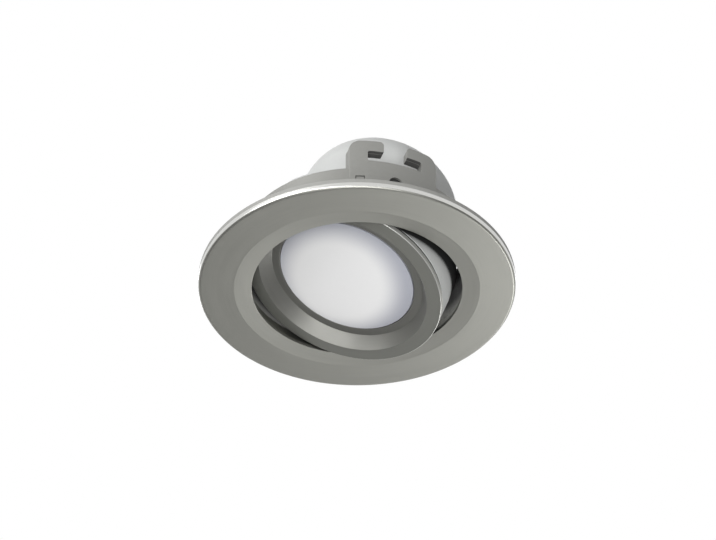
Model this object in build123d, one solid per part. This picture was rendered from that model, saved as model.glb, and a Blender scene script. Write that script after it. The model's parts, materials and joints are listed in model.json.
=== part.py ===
from build123d import *
import math
import os

# Adjustable recessed spotlight, in millimetres and degrees.
# Origin: lamp axis at the ceiling plane, which is the rear face of the trim ring's flange.
# +Z points up into the ceiling void, and the head tilts about the Y direction.

# Ceiling cut-out and trim ring
CUTOUT_RADIUS = 34.0
CUTOUT_CLEARANCE = 0.1
FLANGE_OVERLAP = 11.0
FLANGE_EDGE = 3.0
FLANGE_EDGE_ROUND = 0.85
CREST_DROP = 0.25
BEVEL_WIDTH = 5.0
BEVEL_RISE = 0.35
LIP_THICKNESS = 1.1
THROAT_GAP = 0.5
RIB_HEIGHT = 2.0
RIB_WALL = 0.8
RIB_FIT = 0.1
SNAP_BEAD = 0.35
SNAP_FIT = 0.15
SEAT_GROOVE_INSET = 0.15
SEAT_GROOVE_WIDTH = 1.0
SEAT_GROOVE_DEPTH = 0.4

# Mounting collar with its two spring brackets
BASE_RING_HEIGHT = 2.9
BASE_RING_STEP = 0.8
COLLAR_WALL = 0.8
COLLAR_HEIGHT = 14.25
COLLAR_CHAMFER = 0.3
BRACKET_STEP = 0.4
BRACKET_WIDTH = 25.8
BRACKET_CORNER = 3.0
SLOT_RISE = 2.55
SLOT_WIDTH = 15.9
SLOT_HEIGHT = 3.5
SLOT_CORNER = 0.6
NECK_WIDTH = 6.9
LUG_HEIGHT = 3.75
LUG_CORNER = 1.2

# Pivot blocks, pins and friction washers
BLOCK_WALL = 1.8
BLOCK_FIT = 0.05
BLOCK_DROP = 0.8
BOSS_RADIUS = 4.4
BOSS_PROUD = 0.6
BARB_ANGLE = 17.5
BARB_WIDTH = 2.2
BARB_HEIGHT = 1.6
BARB_REACH = 1.0
WINDOW_CLEARANCE = 0.2
PIN_RADIUS = 1.5
PIN_CLEARANCE = 0.05
PIN_HEAD_RADIUS = 1.9
PIN_HEAD_THICKNESS = 0.6
PIN_HEAD_SUNK = 0.65
PIN_END_PROUD = 0.4
DRIVER_SLOT_WIDTH = 1.2
DRIVER_SLOT_DEPTH = 0.4
WASHER_RADIUS = 3.4
WASHER_THICKNESS = 1.1
EAR_CLEARANCE = 0.1

# Tilting head: bezel ring
REST_TILT = 20.3
RIM_FRONT = 12.2
RIM_PROUD = 2.35
RIM_THICKNESS = 1.4
SWING_CLEARANCE = 0.52
RIM_FLAT = 4.15
RIM_LEAN = 0.5
RIM_CHAMFER = 0.3
CONE_WIDTH = 2.6
CONE_DEPTH = 3.65
CONE_WALL = 1.5
LEDGE_WIDTH = 2.4
LEDGE_THICKNESS = 1.0
SLEEVE_LEDGE = 0.1
SLEEVE_WALL = 1.5

# Housing and its fasteners
SLEEVE_FIT = 0.3
HOUSING_WALL = 1.6
HOUSING_REACH = 35.8
BACK_FLAT_RADIUS = 5.9
CUP_STEP = 0.6
BARREL_STEP = 0.15
BARREL_GAP = 0.5
BARREL_WALL = 1.2
BARREL_REACH = 2.7
BARREL_BACK = 1.6
BARREL_ROUND = 0.6
EAR_THICKNESS = 1.8
EAR_RADIUS = 3.6
SEAT_WIDTH = 1.2
SEAT_HEIGHT = 1.2
SCREW_COUNT = 3
SCREW_BOSS_RADIUS = 2.2
BOSS_CLEARANCE = 0.2
SCREW_RADIUS = 1.1
SCREW_DEPTH = 5.6
SCREW_HEAD_RADIUS = 1.9
SCREW_HEAD_HEIGHT = 1.3
SCREW_CLEARANCE = 0.25
THREAD_CLEARANCE = 0.05
INLET_RADIUS = 4.0
GROMMET_BORE = 2.6
GROMMET_LIP = 1.2
GROMMET_LIP_REACH = 1.1
GROMMET_FIT = 0.05

# Optical stack
STACK_FIT = 0.3
WINDOW_FIT = 0.25
DIFFUSER_FLANGE = 1.0
DIFFUSER_EDGE = 0.1
DIFFUSER_CROWN = 1.0
DIFFUSER_WALL = 1.2
GASKET_THICKNESS = 0.8
REFLECTOR_WALL = 0.8
REFLECTOR_DEPTH = 8.0
REFLECTOR_EXIT = 9.2
BOARD_INSET = 0.3
BOARD_THICKNESS = 1.6
CHIP_SIZE = 2.6
CHIP_HEIGHT = 0.8
CHIP_RING = 5.6
CHIP_RING_COUNT = 6
BOARD_SCREW_SETBACK = 3.0
BOARD_SCREW_COUNT = 3
BOARD_SCREW_RADIUS = 0.9
BOARD_SCREW_HEAD = 1.9
BOARD_SCREW_HEAD_HEIGHT = 1.2
BOARD_SCREW_BITE = 2.4
SPREADER_FIT = 0.3
SPREADER_THICKNESS = 3.0

# Driver; its components stand at an angle and a setback from the board's edge
TRAY_FIT = 0.3
TRAY_FLOOR = 0.6
TRAY_WALL = 0.7
TRAY_HEIGHT = 8.0
POST_RADIUS = 1.6
POST_HEIGHT = 2.2
POST_COUNT = 4
POST_SETBACK = 4.0
DRIVER_FIT = 0.4
LEAD_RADIUS = 0.7
LEAD_SPACING = 5.0
LEAD_OFFSET = 9.0
LEAD_CLEARANCE = 0.6
CAPACITOR_RADIUS = 4.0
CAPACITOR_HEIGHT = 11.0
CAPACITOR_ANGLE = 170.0
CAPACITOR_SETBACK = 7.0
CAPACITOR_CRIMP = 0.5
CAPACITOR_ROUND = 0.6
TRANSFORMER_SIZE = (10.0, 8.5, 9.0)
TRANSFORMER_WINDING = (7.0, 11.0, 6.2)
TRANSFORMER_ANGLE = -40.0
TRANSFORMER_SETBACK = 9.5
CHOKE_RADIUS = 3.3
CHOKE_WAIST = 2.2
CHOKE_FLANGE = 1.2
CHOKE_HEIGHT = 7.0
CHOKE_ANGLE = -125.0
CHOKE_SETBACK = 6.0
RECTIFIER_SIZE = (3.8, 3.4, 2.2)
RECTIFIER_ANGLE = 134.0
RECTIFIER_SETBACK = 4.0
CONTROLLER_SIZE = (3.6, 3.2, 1.5)
CONTROLLER_ANGLE = 205.0
CONTROLLER_SETBACK = 3.2
CHIP_CHAMFER = 0.3
FUSE_RADIUS = 1.4
FUSE_LENGTH = 6.0
FUSE_CAP = 1.5
FUSE_NECK = 0.3
FUSE_ANGLE = 30.0
FUSE_SETBACK = 5.0
TERMINAL_SIZE = (10.0, 7.0, 9.0)
TERMINAL_ANGLE = 90.0
TERMINAL_SETBACK = 6.3
TERMINAL_PITCH = 5.0
TERMINAL_WIRE_RADIUS = 1.4
TERMINAL_SCREW_RADIUS = 1.5
TERMINAL_DEPTH = 4.5

# Trim ring levels and radii
FLANGE_RADIUS = CUTOUT_RADIUS + FLANGE_OVERLAP
FACE_Z = -FLANGE_EDGE
CREST_Z = FACE_Z - CREST_DROP
THROAT_Z = CREST_Z + BEVEL_RISE
LIP_TOP = THROAT_Z + LIP_THICKNESS
PIVOT_Z = RIM_FRONT - RIM_PROUD

# Collar radii and levels
BASE_RING_RADIUS = CUTOUT_RADIUS - CUTOUT_CLEARANCE
BRACKET_RADIUS = BASE_RING_RADIUS - BRACKET_STEP
COLLAR_RADIUS = BASE_RING_RADIUS - BASE_RING_STEP
COLLAR_INNER = COLLAR_RADIUS - COLLAR_WALL
SLOT_FLOOR = COLLAR_HEIGHT + SLOT_RISE
BRACKET_TOP = SLOT_FLOOR + SLOT_HEIGHT + LUG_HEIGHT
RIB_RADIUS = COLLAR_INNER - RIB_FIT

# Pivot stations along the tilt axis
BLOCK_RADIUS = COLLAR_INNER - BLOCK_FIT
BLOCK_INNER = BLOCK_RADIUS - BLOCK_WALL
BLOCK_BOTTOM = PIVOT_Z - BLOCK_DROP
BOSS_FACE = BLOCK_INNER - BOSS_PROUD
EAR_OUTER = BOSS_FACE - WASHER_THICKNESS - EAR_CLEARANCE
EAR_INNER = EAR_OUTER - EAR_THICKNESS
PIN_HOLE_RADIUS = PIN_RADIUS + PIN_CLEARANCE
PIN_HEAD_TOP = BRACKET_RADIUS - PIN_HEAD_SUNK
PIN_HEAD_SEAT = PIN_HEAD_TOP - PIN_HEAD_THICKNESS
BARB_BOTTOM = BLOCK_BOTTOM + WINDOW_CLEARANCE

# Head radii, all following from the swing of the rim inside the collar
SWING_REACH = COLLAR_INNER - SWING_CLEARANCE
RIM_RADIUS = math.sqrt(SWING_REACH**2 - RIM_FRONT**2)
THROAT_RADIUS = RIM_RADIUS + THROAT_GAP
CREST_RADIUS = THROAT_RADIUS + BEVEL_WIDTH
MOUTH_RADIUS = RIM_RADIUS - RIM_FLAT
LEDGE_RADIUS = MOUTH_RADIUS - CONE_WIDTH
WINDOW_RADIUS = LEDGE_RADIUS - LEDGE_WIDTH
SLEEVE_INNER = LEDGE_RADIUS - SLEEVE_LEDGE
SLEEVE_OUTER = SLEEVE_INNER + SLEEVE_WALL
HOUSING_RADIUS = SLEEVE_INNER - SLEEVE_FIT
HOUSING_INNER = HOUSING_RADIUS - HOUSING_WALL
CUP_RADIUS = SLEEVE_OUTER - CUP_STEP
CUP_INNER = CUP_RADIUS - HOUSING_WALL
BARREL_RADIUS = RIM_RADIUS - BARREL_STEP
BARREL_INNER = BARREL_RADIUS - BARREL_WALL
SEAT_INNER = HOUSING_INNER - SEAT_WIDTH
STACK_RADIUS = SLEEVE_INNER - STACK_FIT
REFLECTOR_MOUTH = HOUSING_INNER - REFLECTOR_WALL - STACK_FIT
SCREW_CIRCLE = BARREL_INNER - BOSS_CLEARANCE - SCREW_BOSS_RADIUS
BOARD_RADIUS = HOUSING_INNER - SPREADER_FIT - BOARD_INSET
BOARD_SCREW_CIRCLE = BOARD_RADIUS - BOARD_SCREW_SETBACK

# Head levels along the head's own axis, measured from the pivot, front is negative
RIM_W = -RIM_FRONT
MOUTH_W = RIM_W - RIM_LEAN
RIM_BACK_W = RIM_W + RIM_THICKNESS
BARREL_FRONT_W = RIM_BACK_W + BARREL_GAP
LEDGE_W = MOUTH_W + CONE_DEPTH
LEDGE_BACK_W = LEDGE_W + LEDGE_THICKNESS
SLEEVE_W = BARREL_REACH - BARREL_BACK
DIFFUSER_BACK_W = LEDGE_BACK_W + DIFFUSER_FLANGE
GASKET_BACK_W = DIFFUSER_BACK_W + GASKET_THICKNESS
HOUSING_FRONT_W = GASKET_BACK_W + REFLECTOR_WALL
BOARD_W = GASKET_BACK_W + REFLECTOR_DEPTH
SPREADER_W = BOARD_W + BOARD_THICKNESS
SEAT_W = SPREADER_W + SPREADER_THICKNESS
TRAY_TOP_W = SEAT_W + TRAY_FLOOR
DRIVER_W = TRAY_TOP_W + POST_HEIGHT
PARTS_W = DRIVER_W + BOARD_THICKNESS
HOUSING_WALL_W = HOUSING_REACH - HOUSING_WALL
ROUND_CENTRE = (BACK_FLAT_RADIUS, HOUSING_REACH - CUP_RADIUS + BACK_FLAT_RADIUS)
TRAY_RADIUS = SEAT_INNER - TRAY_FIT
DRIVER_RADIUS = TRAY_RADIUS - TRAY_WALL - DRIVER_FIT
POST_CIRCLE = DRIVER_RADIUS - POST_SETBACK

OVERSIZE = 2.0
HEAD_PLACE = Pos(0, 0, PIVOT_Z) * Rotation(0, REST_TILT, 0)


def turned(points):
    """Solid of revolution about Z from a closed outline of (radius, height) points."""
    return revolve(Plane.XZ * make_face(Polyline(*points, close=True)), Axis.Z)


def bend(centre, start, end):
    """Arc about a centre from start to end, the short way round."""
    radius = math.dist(centre, start)
    half = (Vector(*start) + Vector(*end)) / 2 - Vector(*centre)
    return ThreePointArc(start, Vector(*centre) + half.normalized() * radius, end)


def tube(inner, outer, low, high):
    """Plain ring between two radii and two heights."""
    return turned([(inner, low), (outer, low), (outer, high), (inner, high)])


def rod(radius, low, high, place=(0, 0)):
    """Upright round bar at a place in plan."""
    return Pos(*place, (low + high) / 2) * Cylinder(radius, high - low)


def cross_rod(radius, start, end, height):
    """Round bar along Y between two stations."""
    return Pos(0, (start + end) / 2, height) * Rotation(90, 0, 0) * Cylinder(radius, abs(end - start))


def on_circle(radius, count, start=0.0):
    """Places evenly spaced on a circle."""
    angles = [math.radians(start + 360 * i / count) for i in range(count)]
    return [(radius * math.cos(a), radius * math.sin(a)) for a in angles]


def both_ends(piece):
    """A piece at the -Y end of the tilt axis and its twin at the +Y end."""
    return [piece, Rotation(0, 0, 180) * piece]


def bracket_panel(low):
    """Plate across both brackets with rounded upper corners and the T-shaped spring seat."""
    height = BRACKET_TOP - low
    panel = Pos(0, low + height / 2) * Rectangle(BRACKET_WIDTH, height)
    slot = Pos(0, SLOT_FLOOR + SLOT_HEIGHT / 2) * RectangleRounded(SLOT_WIDTH, SLOT_HEIGHT, SLOT_CORNER)
    neck_height = BRACKET_TOP - SLOT_FLOOR + OVERSIZE
    neck = Pos(0, SLOT_FLOOR + neck_height / 2) * Rectangle(NECK_WIDTH, neck_height)
    panel = panel - slot - neck
    outer = panel.vertices().group_by(Axis.Y)[-1].sort_by(lambda v: abs(v.X))[-2:]
    panel = fillet(outer, BRACKET_CORNER)
    inner = panel.vertices().group_by(Axis.Y)[-1].sort_by(lambda v: abs(v.X))[:2]
    panel = fillet(inner, LUG_CORNER)
    return extrude(Plane.XZ * panel, BRACKET_RADIUS + OVERSIZE, both=True)


def barb(width, height, inner, outer, bottom):
    """Four snap barbs, or the windows for them, on either side of both pivots."""
    block = Pos(0, -(inner + outer) / 2, bottom + height / 2) * Box(width, outer - inner, height)
    angles = [end + side * BARB_ANGLE for end in (0, 180) for side in (-1, 1)]
    return [Rotation(0, 0, a) * block for a in angles]


def trim_ring():
    """Visible flange: sloped face, bevel to the opening, snap rib and groove round the collar's foot."""
    bead = RIB_RADIUS + SNAP_BEAD
    groove = BASE_RING_RADIUS + SEAT_GROOVE_INSET
    round_r = FLANGE_RADIUS - FLANGE_EDGE_ROUND
    round_z = FACE_Z + FLANGE_EDGE_ROUND
    outline = Line((FLANGE_RADIUS, 0), (FLANGE_RADIUS, round_z))
    outline += bend((round_r, round_z), (FLANGE_RADIUS, round_z), (round_r, FACE_Z))
    outline += Polyline(
        (round_r, FACE_Z),
        (CREST_RADIUS, CREST_Z),
        (THROAT_RADIUS, THROAT_Z),
        (THROAT_RADIUS, LIP_TOP),
        (RIB_RADIUS - RIB_WALL, LIP_TOP),
        (RIB_RADIUS - RIB_WALL, RIB_HEIGHT),
        (RIB_RADIUS, RIB_HEIGHT),
        (RIB_RADIUS, RIB_HEIGHT - SNAP_BEAD),
        (bead, RIB_HEIGHT - 2 * SNAP_BEAD),
        (bead, RIB_HEIGHT - 3 * SNAP_BEAD),
        (RIB_RADIUS, RIB_HEIGHT - 4 * SNAP_BEAD),
        (RIB_RADIUS, 0),
        (groove, 0),
        (groove, -SEAT_GROOVE_DEPTH),
        (groove + SEAT_GROOVE_WIDTH, -SEAT_GROOVE_DEPTH),
        (groove + SEAT_GROOVE_WIDTH, 0),
        (FLANGE_RADIUS, 0),
    )
    return revolve(Plane.XZ * make_face(outline), Axis.Z)


def mounting_collar():
    """Ring that passes the cut-out, with a spring bracket at each end of the tilt axis."""
    groove = RIB_RADIUS + SNAP_BEAD + SNAP_FIT
    collar = turned([
        (COLLAR_INNER, 0),
        (BASE_RING_RADIUS, 0),
        (BASE_RING_RADIUS, BASE_RING_HEIGHT),
        (COLLAR_RADIUS, BASE_RING_HEIGHT + BASE_RING_STEP),
        (COLLAR_RADIUS, COLLAR_HEIGHT - COLLAR_CHAMFER),
        (COLLAR_RADIUS - COLLAR_CHAMFER, COLLAR_HEIGHT),
        (COLLAR_INNER, COLLAR_HEIGHT),
        (COLLAR_INNER, RIB_HEIGHT - SNAP_BEAD),
        (groove, RIB_HEIGHT - 2 * SNAP_BEAD + SNAP_FIT),
        (groove, RIB_HEIGHT - 3 * SNAP_BEAD - SNAP_FIT),
        (COLLAR_INNER, RIB_HEIGHT - 4 * SNAP_BEAD),
    ])
    wall = tube(COLLAR_INNER, BRACKET_RADIUS, BASE_RING_HEIGHT, BRACKET_TOP)
    collar += wall & bracket_panel(BASE_RING_HEIGHT)
    collar -= both_ends(cross_rod(PIN_HOLE_RADIUS, -COLLAR_INNER + OVERSIZE, -BRACKET_RADIUS, PIVOT_Z))
    seat = cross_rod(PIN_HEAD_RADIUS + PIN_CLEARANCE, -PIN_HEAD_SEAT, -BRACKET_RADIUS - OVERSIZE, PIVOT_Z)
    collar -= both_ends(seat)
    collar -= barb(
        BARB_WIDTH + 2 * WINDOW_CLEARANCE,
        BARB_HEIGHT + 2 * WINDOW_CLEARANCE,
        COLLAR_INNER - OVERSIZE,
        BRACKET_RADIUS + OVERSIZE,
        BARB_BOTTOM - WINDOW_CLEARANCE,
    )
    return collar


def pivot_blocks():
    """Inner bearing blocks that double the bracket walls and carry the pivot pins."""
    block = tube(BLOCK_INNER, BLOCK_RADIUS, BLOCK_BOTTOM, BRACKET_TOP) & bracket_panel(BLOCK_BOTTOM)
    root = BLOCK_INNER + BLOCK_WALL / 2
    block += both_ends(cross_rod(BOSS_RADIUS, -BOSS_FACE, -root, PIVOT_Z))
    block += barb(BARB_WIDTH, BARB_HEIGHT, root, BLOCK_RADIUS + BARB_REACH, BARB_BOTTOM)
    block -= both_ends(cross_rod(PIN_HOLE_RADIUS, -BOSS_FACE + OVERSIZE, -BLOCK_RADIUS - OVERSIZE, PIVOT_Z))
    near, far = block.solids().sort_by(Axis.Y)
    return near, far


def pivot_pins():
    """Slotted pins let into the brackets, one at each end of the tilt axis."""
    pin = cross_rod(PIN_RADIUS, -EAR_INNER + PIN_END_PROUD, -PIN_HEAD_SEAT, PIVOT_Z)
    pin += cross_rod(PIN_HEAD_RADIUS, -PIN_HEAD_SEAT, -PIN_HEAD_TOP, PIVOT_Z)
    slot = Box(2 * PIN_HEAD_RADIUS + OVERSIZE, 2 * DRIVER_SLOT_DEPTH, DRIVER_SLOT_WIDTH)
    pin -= Pos(0, -PIN_HEAD_TOP, PIVOT_Z) * slot
    return Compound(both_ends(pin))


def friction_washers():
    """Washers between the pivot blocks and the housing's ears, which hold the chosen tilt."""
    inner_face = BOSS_FACE - WASHER_THICKNESS
    washer = cross_rod(WASHER_RADIUS, -inner_face, -BOSS_FACE, PIVOT_Z)
    washer -= cross_rod(PIN_HOLE_RADIUS, -inner_face + OVERSIZE, -BOSS_FACE - OVERSIZE, PIVOT_Z)
    return Compound(both_ends(washer))


def screw_places():
    """Screw stations that join the housing to the bezel."""
    return on_circle(SCREW_CIRCLE, SCREW_COUNT)


def bezel_ring():
    """Tilting ring: flat rim, inner cone, ledge for the diffuser, sleeve and screw bosses."""
    ring = turned([
        (WINDOW_RADIUS, LEDGE_W),
        (LEDGE_RADIUS, LEDGE_W),
        (MOUTH_RADIUS, MOUTH_W),
        (RIM_RADIUS - RIM_CHAMFER, RIM_W),
        (RIM_RADIUS, RIM_W + RIM_CHAMFER),
        (RIM_RADIUS, RIM_BACK_W),
        (MOUTH_RADIUS + CONE_WALL, RIM_BACK_W),
        (SLEEVE_OUTER, LEDGE_W + CONE_WALL / 2),
        (SLEEVE_OUTER, SLEEVE_W),
        (SLEEVE_INNER, SLEEVE_W),
        (SLEEVE_INNER, LEDGE_BACK_W),
        (WINDOW_RADIUS, LEDGE_BACK_W),
    ])
    for place in screw_places():
        ring += rod(SCREW_BOSS_RADIUS, LEDGE_W, SLEEVE_W, place) - rod(SLEEVE_INNER, LEDGE_W, SLEEVE_W)
        ring -= rod(SCREW_RADIUS, SLEEVE_W - SCREW_DEPTH, SLEEVE_W + OVERSIZE, place)
    return ring


def diffuser():
    """Opal disc with a crowned face that looks out through the bezel's window."""
    edge = WINDOW_RADIUS - WINDOW_FIT
    front = LEDGE_W - DIFFUSER_EDGE
    crown = front - DIFFUSER_CROWN
    crown_radius = (edge**2 + DIFFUSER_CROWN**2) / (2 * DIFFUSER_CROWN)
    inner_edge = edge - DIFFUSER_WALL
    inner_radius = crown_radius - DIFFUSER_WALL
    back = crown + DIFFUSER_WALL
    inner_front = crown + crown_radius - math.sqrt(inner_radius**2 - inner_edge**2)
    outline = bend((0, crown + crown_radius), (0, crown), (edge, front))
    outline += Polyline(
        (edge, front),
        (edge, LEDGE_BACK_W),
        (STACK_RADIUS, LEDGE_BACK_W),
        (STACK_RADIUS, DIFFUSER_BACK_W),
        (inner_edge, DIFFUSER_BACK_W),
        (inner_edge, inner_front),
    )
    outline += bend((0, crown + crown_radius), (inner_edge, inner_front), (0, back))
    outline += Line((0, back), (0, crown))
    return revolve(Plane.XZ * make_face(outline), Axis.Z)


def diffuser_gasket():
    """Soft ring that presses the diffuser against the ledge."""
    return tube(REFLECTOR_MOUTH, STACK_RADIUS, DIFFUSER_BACK_W, GASKET_BACK_W)


def reflector_cup():
    """White cone from the diffuser down to the light source, with a clamped flange."""
    return turned([
        (REFLECTOR_MOUTH, GASKET_BACK_W),
        (STACK_RADIUS, GASKET_BACK_W),
        (STACK_RADIUS, HOUSING_FRONT_W),
        (REFLECTOR_MOUTH + REFLECTOR_WALL, HOUSING_FRONT_W),
        (REFLECTOR_EXIT + REFLECTOR_WALL, BOARD_W),
        (REFLECTOR_EXIT, BOARD_W),
    ])


def board_screw_places():
    """Screw stations that press the light source board onto the heat spreader."""
    return on_circle(BOARD_SCREW_CIRCLE, BOARD_SCREW_COUNT, 90)


def lead_places():
    """Plan places of the two leads between the boards."""
    return [(side * LEAD_SPACING / 2, -LEAD_OFFSET) for side in (-1, 1)]


def led_board():
    """Round metal-core board that carries the light sources."""
    board = rod(BOARD_RADIUS, BOARD_W, SPREADER_W)
    for place in board_screw_places():
        board -= rod(BOARD_SCREW_RADIUS + SCREW_CLEARANCE, BOARD_W - OVERSIZE, SPREADER_W + OVERSIZE, place)
    return board


def led_chips():
    """Light sources: one in the middle and a ring round it."""
    chip = Box(CHIP_SIZE, CHIP_SIZE, CHIP_HEIGHT)
    level = BOARD_W - CHIP_HEIGHT / 2
    places = [(0, 0)] + on_circle(CHIP_RING, CHIP_RING_COUNT)
    return Compound([Pos(*place, level) * chip for place in places])


def screw(shank_radius, head_radius, head_height, length):
    """Pan-head screw with a cross recess, its head's bearing face at the origin, shank along -Z."""
    body = rod(shank_radius, -length, 0) + rod(head_radius, 0, head_height)
    body = fillet(body.edges().group_by(Axis.Z)[-1], head_height / 3)
    arm = Box(1.2 * head_radius, head_radius / 3, head_height)
    recess = Pos(0, 0, head_height) * (arm + Rotation(0, 0, 90) * arm)
    return body - recess


def board_screws():
    """Screws through the light source board, heads towards the front."""
    length = BOARD_THICKNESS + BOARD_SCREW_BITE
    one = screw(BOARD_SCREW_RADIUS, BOARD_SCREW_HEAD, BOARD_SCREW_HEAD_HEIGHT, length)
    return Compound([Pos(*place, BOARD_W) * Rotation(180, 0, 0) * one for place in board_screw_places()])


def heat_spreader():
    """Aluminium disc behind the light source board, seated on the housing's inner step."""
    disc = rod(HOUSING_INNER - SPREADER_FIT, SPREADER_W, SEAT_W)
    for place in board_screw_places():
        disc -= rod(BOARD_SCREW_RADIUS + THREAD_CLEARANCE, SPREADER_W - OVERSIZE, SEAT_W + OVERSIZE, place)
    for place in lead_places():
        disc -= rod(LEAD_RADIUS + LEAD_CLEARANCE, SPREADER_W - OVERSIZE, SEAT_W + OVERSIZE, place)
    return disc


def led_leads():
    """Two stiff leads from the driver to the light source board."""
    return Compound([rod(LEAD_RADIUS, SPREADER_W, DRIVER_W, place) for place in lead_places()])


def insulation_tray():
    """Moulded tray that keeps the driver clear of the heat spreader, with posts for its board."""
    tray = rod(TRAY_RADIUS, SEAT_W, SEAT_W + TRAY_HEIGHT)
    tray -= rod(TRAY_RADIUS - TRAY_WALL, TRAY_TOP_W, SEAT_W + TRAY_HEIGHT + OVERSIZE)
    for place in on_circle(POST_CIRCLE, POST_COUNT, 45):
        tray += rod(POST_RADIUS, SEAT_W, DRIVER_W, place)
    for place in lead_places():
        tray -= rod(LEAD_RADIUS + LEAD_CLEARANCE, SEAT_W - OVERSIZE, TRAY_TOP_W + OVERSIZE, place)
    return tray


def board_place(angle, setback):
    """Plan place of a component from its angle and its setback from the driver board's edge."""
    return on_circle(DRIVER_RADIUS - setback, 1, angle)[0]


def driver_board():
    """Round circuit board on the tray's posts."""
    return rod(DRIVER_RADIUS, DRIVER_W, PARTS_W)


def driver_capacitor():
    """Storage capacitor with its rolled crimp and rounded can."""
    crimp_low = PARTS_W + 2 * CAPACITOR_CRIMP
    can = rod(CAPACITOR_RADIUS, PARTS_W, PARTS_W + CAPACITOR_HEIGHT)
    can = fillet(can.edges().group_by(Axis.Z)[-1], CAPACITOR_ROUND)
    waist = tube(CAPACITOR_RADIUS - CAPACITOR_CRIMP, CAPACITOR_RADIUS + OVERSIZE,
                 crimp_low, crimp_low + CAPACITOR_CRIMP)
    return Pos(*board_place(CAPACITOR_ANGLE, CAPACITOR_SETBACK), 0) * (can - waist)


def driver_transformer():
    """Ferrite core wrapped round a wound bobbin."""
    width, depth, height = TRANSFORMER_SIZE
    coil_width, coil_depth, coil_height = TRANSFORMER_WINDING
    core = Pos(0, 0, height / 2) * Box(width, depth, height)
    coil = Pos(0, 0, coil_height / 2) * Box(coil_width, coil_depth, coil_height)
    coil = fillet(coil.edges().filter_by(Axis.Z), CAPACITOR_ROUND)
    return Pos(*board_place(TRANSFORMER_ANGLE, TRANSFORMER_SETBACK), PARTS_W) * (core + coil)


def driver_choke():
    """Drum core with its winding between two flanges."""
    drum = turned([
        (0, 0),
        (CHOKE_RADIUS, 0),
        (CHOKE_RADIUS, CHOKE_FLANGE),
        (CHOKE_WAIST, CHOKE_FLANGE),
        (CHOKE_WAIST, CHOKE_HEIGHT - CHOKE_FLANGE),
        (CHOKE_RADIUS, CHOKE_HEIGHT - CHOKE_FLANGE),
        (CHOKE_RADIUS, CHOKE_HEIGHT),
        (0, CHOKE_HEIGHT),
    ])
    return Pos(*board_place(CHOKE_ANGLE, CHOKE_SETBACK), PARTS_W) * drum


def flat_package(size, place):
    """Small moulded component lying on the driver board."""
    width, depth, height = size
    body = Pos(*place, PARTS_W + height / 2) * Box(width, depth, height)
    return chamfer(body.edges().group_by(Axis.Z)[-1], CHIP_CHAMFER)


def driver_fuse():
    """Cartridge fuse lying on the driver board, with an end cap on each side."""
    barrel = Rotation(0, 90, 0) * Cylinder(FUSE_RADIUS - FUSE_NECK, FUSE_LENGTH)
    cap = Rotation(0, 90, 0) * Cylinder(FUSE_RADIUS, FUSE_CAP)
    offset = (FUSE_LENGTH - FUSE_CAP) / 2
    fuse = barrel + Pos(offset, 0, 0) * cap + Pos(-offset, 0, 0) * cap
    return Pos(*board_place(FUSE_ANGLE, FUSE_SETBACK), PARTS_W + FUSE_RADIUS) * fuse


def terminal_block():
    """Mains terminals with wire entries on the outer side and clamp screws on top."""
    width, depth, height = TERMINAL_SIZE
    block = Pos(0, 0, height / 2) * Box(width, depth, height)
    for side in (-1, 1):
        x = side * TERMINAL_PITCH / 2
        entry = Rotation(90, 0, 0) * Cylinder(TERMINAL_WIRE_RADIUS, 2 * TERMINAL_DEPTH)
        block -= Pos(x, depth / 2, height / 3) * entry
        block -= Pos(x, -depth / 6, height) * Cylinder(TERMINAL_SCREW_RADIUS, TERMINAL_DEPTH)
    return Pos(*board_place(TERMINAL_ANGLE, TERMINAL_SETBACK), PARTS_W) * block


def module_housing():
    """Rear cup with a round back and an inner step, and a barrel flattened at its pivot ears."""
    centre_r, centre_w = ROUND_CENTRE
    round_r = BARREL_RADIUS - BARREL_ROUND
    round_w = BARREL_REACH - BARREL_ROUND
    seat_back = SEAT_W + SEAT_HEIGHT
    outline = Polyline(
        (HOUSING_RADIUS, HOUSING_FRONT_W),
        (HOUSING_RADIUS, SLEEVE_W),
        (BARREL_INNER, SLEEVE_W),
        (BARREL_INNER, BARREL_FRONT_W),
        (BARREL_RADIUS, BARREL_FRONT_W),
        (BARREL_RADIUS, round_w),
    )
    outline += bend((round_r, round_w), (BARREL_RADIUS, round_w), (round_r, BARREL_REACH))
    outline += Polyline((round_r, BARREL_REACH), (CUP_RADIUS, BARREL_REACH), (CUP_RADIUS, centre_w))
    outline += bend(ROUND_CENTRE, (CUP_RADIUS, centre_w), (centre_r, HOUSING_REACH))
    outline += Polyline(
        (centre_r, HOUSING_REACH),
        (INLET_RADIUS, HOUSING_REACH),
        (INLET_RADIUS, HOUSING_WALL_W),
        (centre_r, HOUSING_WALL_W),
    )
    outline += bend(ROUND_CENTRE, (centre_r, HOUSING_WALL_W), (CUP_INNER, centre_w))
    outline += Polyline(
        (CUP_INNER, centre_w),
        (CUP_INNER, seat_back + CUP_INNER - SEAT_INNER),
        (SEAT_INNER, seat_back),
        (SEAT_INNER, SEAT_W),
        (HOUSING_INNER, SEAT_W),
        (HOUSING_INNER, HOUSING_FRONT_W),
        (HOUSING_RADIUS, HOUSING_FRONT_W),
    )
    housing = revolve(Plane.XZ * make_face(outline), Axis.Z)
    for place in screw_places():
        hole = rod(SCREW_RADIUS + SCREW_CLEARANCE, SLEEVE_W - OVERSIZE, BARREL_REACH + OVERSIZE, place)
        housing -= hole
    housing += both_ends(cross_rod(EAR_RADIUS, -EAR_INNER, -EAR_OUTER - OVERSIZE, 0))
    flat = Pos(0, -EAR_OUTER - OVERSIZE, 0) * Box(2 * BARREL_RADIUS, 2 * OVERSIZE, 2 * HOUSING_REACH)
    housing -= both_ends(flat)
    housing -= both_ends(cross_rod(PIN_HOLE_RADIUS, -EAR_INNER + OVERSIZE, -EAR_OUTER - OVERSIZE, 0))
    return housing


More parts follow.
